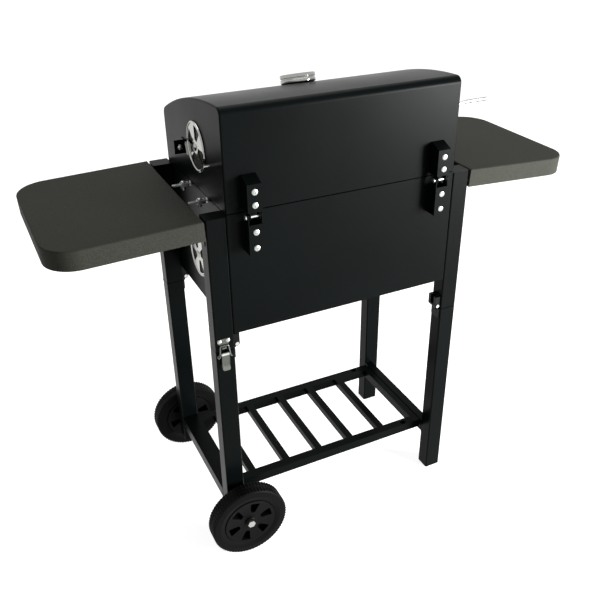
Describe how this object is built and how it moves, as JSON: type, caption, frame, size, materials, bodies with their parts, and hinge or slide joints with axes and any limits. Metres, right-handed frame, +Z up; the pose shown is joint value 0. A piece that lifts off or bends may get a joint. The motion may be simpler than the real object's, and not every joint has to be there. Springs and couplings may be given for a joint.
{
  "type": "charcoal grill cart",
  "caption": "Charcoal grill cart seen from behind: box body with hinged lid, rotary vents, fold-down side tables, folding legs, two wheels and a slatted lower shelf.",
  "frame": {"origin": "on the floor under the middle of the cart", "axes": "+X towards the wheels, +Y towards the lid hinges (the back), +Z up"},
  "size_m": [1.1521, 0.4748, 1.009],
  "materials": {
    "black_powder_coat": "satin",
    "black_hinge_plate": "matte",
    "chrome_plate": "polished",
    "zinc_plate": "satin",
    "dial_face": "matte",
    "clear_glass": "polished",
    "tyre_plastic": "matte",
    "wheel_plastic": "satin",
    "black_enamel": "gloss"
  },
  "bodies": {
    "cart": {"firebox": "black_powder_coat", "firebox_ledges": "black_powder_coat", "leg_hinge_upper_leaves": "black_hinge_plate", "leg_hinge_pins": "zinc_plate", "lid_hinge_lower_brackets": "black_powder_coat", "lid_hinge_pins": "zinc_plate", "lid_hinge_lower_screws": "zinc_plate", "table_hinge_brackets": "black_hinge_plate", "table_support_straps": "zinc_plate", "latch_catches": "zinc_plate", "upper_leg_rear_wheel_side": "black_powder_coat", "upper_leg_front_wheel_side": "black_powder_coat", "upper_leg_rear_foot_side": "black_powder_coat", "upper_leg_front_foot_side": "black_powder_coat"},
    "lid_assembly": {"lid": "black_powder_coat", "lid_hinge_upper_brackets": "black_powder_coat", "lid_hinge_upper_screws": "zinc_plate", "lid_handle": "chrome_plate", "lid_handle_brackets": "black_powder_coat", "lid_side_plate": "black_powder_coat", "thermometer_case": "chrome_plate", "thermometer_dial": "dial_face", "thermometer_glass": "clear_glass", "warming_rack": "chrome_plate"},
    "lid_vent_wheel_side": {"lid_damper_wheel_side": "chrome_plate"},
    "lid_vent_foot_side": {"lid_damper_foot_side": "chrome_plate", "lid_damper_rod": "zinc_plate"},
    "firebox_vent_wheel_side": {"firebox_damper_wheel_side": "chrome_plate"},
    "firebox_vent_foot_side": {"firebox_damper_foot_side": "chrome_plate"},
    "table_wheel_side": {"side_table_wheel_side": "black_powder_coat"},
    "table_foot_side": {"side_table_foot_side": "black_powder_coat"},
    "shelf": {"shelf_frame": "black_powder_coat", "shelf_slats": "black_powder_coat", "shelf_side_rail_wheel_side": "black_powder_coat", "shelf_side_rail_foot_side": "black_powder_coat"},
    "fuel_door_assembly": {"fuel_door": "black_powder_coat", "fuel_door_handle": "chrome_plate"},
    "grate_wheel_side": {"cooking_grate_wheel_side": "black_enamel"},
    "grate_foot_side": {"cooking_grate_foot_side": "black_enamel"},
    "ash_and_charcoal_tray": {"charcoal_tray": "black_enamel"},
    "leg_rear_wheel_side": {"lower_leg_rear_wheel_side": "black_powder_coat", "leg_hinge_leaf_rear_wheel_side": "black_hinge_plate", "latch_base_rear": "zinc_plate", "wheel_axle_rear": "zinc_plate"},
    "leg_front_wheel_side": {"lower_leg_front_wheel_side": "black_powder_coat", "leg_hinge_leaf_front_wheel_side": "black_hinge_plate", "latch_base_front": "zinc_plate", "wheel_axle_front": "zinc_plate"},
    "leg_rear_foot_side": {"lower_leg_rear_foot_side": "black_powder_coat", "leg_hinge_leaf_rear_foot_side": "black_hinge_plate"},
    "leg_front_foot_side": {"lower_leg_front_foot_side": "black_powder_coat", "leg_hinge_leaf_front_foot_side": "black_hinge_plate"},
    "lever_rear": {"latch_lever_rear": "zinc_plate"},
    "bail_rear": {"latch_bail_rear": "zinc_plate"},
    "wheel_rear": {"wheel_tyre_rear": "tyre_plastic", "wheel_disc_rear": "wheel_plastic"},
    "lever_front": {"latch_lever_front": "zinc_plate"},
    "bail_front": {"latch_bail_front": "zinc_plate"},
    "wheel_front": {"wheel_tyre_front": "tyre_plastic", "wheel_disc_front": "wheel_plastic"}
  },
  "joints": [
    {"name": "lid_hinge", "type": "hinge", "parent": "cart", "child": "lid_assembly", "pos_m": [0, 0.2, 0.812], "axis": [-1, 0, 0], "range_deg": [0, 95]},
    {"name": "lid_vent_wheel_turn", "type": "hinge", "parent": "lid_assembly", "child": "lid_vent_wheel_side", "pos_m": [0.252, 0.039, 0.902], "axis": [1, 0, 0], "range_deg": [0, 45]},
    {"name": "lid_vent_foot_turn", "type": "hinge", "parent": "lid_assembly", "child": "lid_vent_foot_side", "pos_m": [-0.252, 0.039, 0.902], "axis": [-1, 0, 0], "range_deg": [0, 45]},
    {"name": "firebox_vent_wheel_turn", "type": "hinge", "parent": "cart", "child": "firebox_vent_wheel_side", "pos_m": [0.252, -0.001, 0.657], "axis": [1, 0, 0], "range_deg": [0, 45]},
    {"name": "firebox_vent_foot_turn", "type": "hinge", "parent": "cart", "child": "firebox_vent_foot_side", "pos_m": [-0.252, -0.001, 0.657], "axis": [-1, 0, 0], "range_deg": [0, 45]},
    {"name": "table_wheel_fold", "type": "hinge", "parent": "cart", "child": "table_wheel_side", "pos_m": [0.302, 0, 0.776], "axis": [0, 1, 0], "range_deg": [0, 88]},
    {"name": "table_foot_fold", "type": "hinge", "parent": "cart", "child": "table_foot_side", "pos_m": [-0.302, 0, 0.776], "axis": [0, -1, 0], "range_deg": [0, 88]},
    {"name": "shelf_lift", "type": "slide", "parent": "cart", "child": "shelf", "axis": [0, 0, 1], "range_m": [0, 0.25]},
    {"name": "fuel_door_hinge", "type": "hinge", "parent": "cart", "child": "fuel_door_assembly", "pos_m": [0, -0.1722, 0.5925], "axis": [1, 0, 0], "range_deg": [0, 100]},
    {"name": "grate_wheel_lift", "type": "slide", "parent": "cart", "child": "grate_wheel_side", "axis": [0, 0, 1], "range_m": [0, 0.08]},
    {"name": "grate_foot_lift", "type": "slide", "parent": "cart", "child": "grate_foot_side", "axis": [0, 0, 1], "range_m": [0, 0.08]},
    {"name": "tray_lift", "type": "slide", "parent": "cart", "child": "ash_and_charcoal_tray", "axis": [0, 0, 1], "range_m": [0, 0.06]},
    {"name": "leg_rear_wheel_fold", "type": "hinge", "parent": "cart", "child": "leg_rear_wheel_side", "pos_m": [0.245, 0.162, 0.533], "axis": [0, 1, 0], "range_deg": [0, 90]},
    {"name": "leg_front_wheel_fold", "type": "hinge", "parent": "cart", "child": "leg_front_wheel_side", "pos_m": [0.245, -0.162, 0.533], "axis": [0, 1, 0], "range_deg": [0, 90]},
    {"name": "leg_rear_foot_fold", "type": "hinge", "parent": "cart", "child": "leg_rear_foot_side", "pos_m": [-0.245, 0.162, 0.4895], "axis": [0, -1, 0], "range_deg": [0, 90]},
    {"name": "leg_front_foot_fold", "type": "hinge", "parent": "cart", "child": "leg_front_foot_side", "pos_m": [-0.245, -0.162, 0.4895], "axis": [0, -1, 0], "range_deg": [0, 90]},
    {"name": "wheel_rear_spin", "type": "hinge", "parent": "leg_rear_wheel_side", "child": "wheel_rear", "pos_m": [0.26, 0.213, 0.088], "axis": [0, 1, 0], "continuous": true},
    {"name": "lever_rear_lift", "type": "hinge", "parent": "leg_rear_wheel_side", "child": "lever_rear", "pos_m": [0.275, 0.186, 0.522], "axis": [1, 0, 0], "range_deg": [0, 150]},
    {"name": "bail_rear_swing", "type": "hinge", "parent": "leg_rear_wheel_side", "child": "bail_rear", "pos_m": [0.275, 0.187, 0.516], "axis": [-1, 0, 0], "range_deg": [0, 135]},
    {"name": "wheel_front_spin", "type": "hinge", "parent": "leg_front_wheel_side", "child": "wheel_front", "pos_m": [0.26, -0.213, 0.088], "axis": [0, 1, 0], "continuous": true},
    {"name": "lever_front_lift", "type": "hinge", "parent": "leg_front_wheel_side", "child": "lever_front", "pos_m": [0.275, -0.186, 0.522], "axis": [-1, 0, 0], "range_deg": [0, 150]},
    {"name": "bail_front_swing", "type": "hinge", "parent": "leg_front_wheel_side", "child": "bail_front", "pos_m": [0.275, -0.187, 0.516], "axis": [1, 0, 0], "range_deg": [0, 135]}
  ],
  "couplings": [
    {"joint": "bail_rear_swing", "follows": "leg_rear_wheel_fold", "ratio": 1.5},
    {"joint": "bail_front_swing", "follows": "leg_front_wheel_fold", "ratio": 1.5}
  ]
}
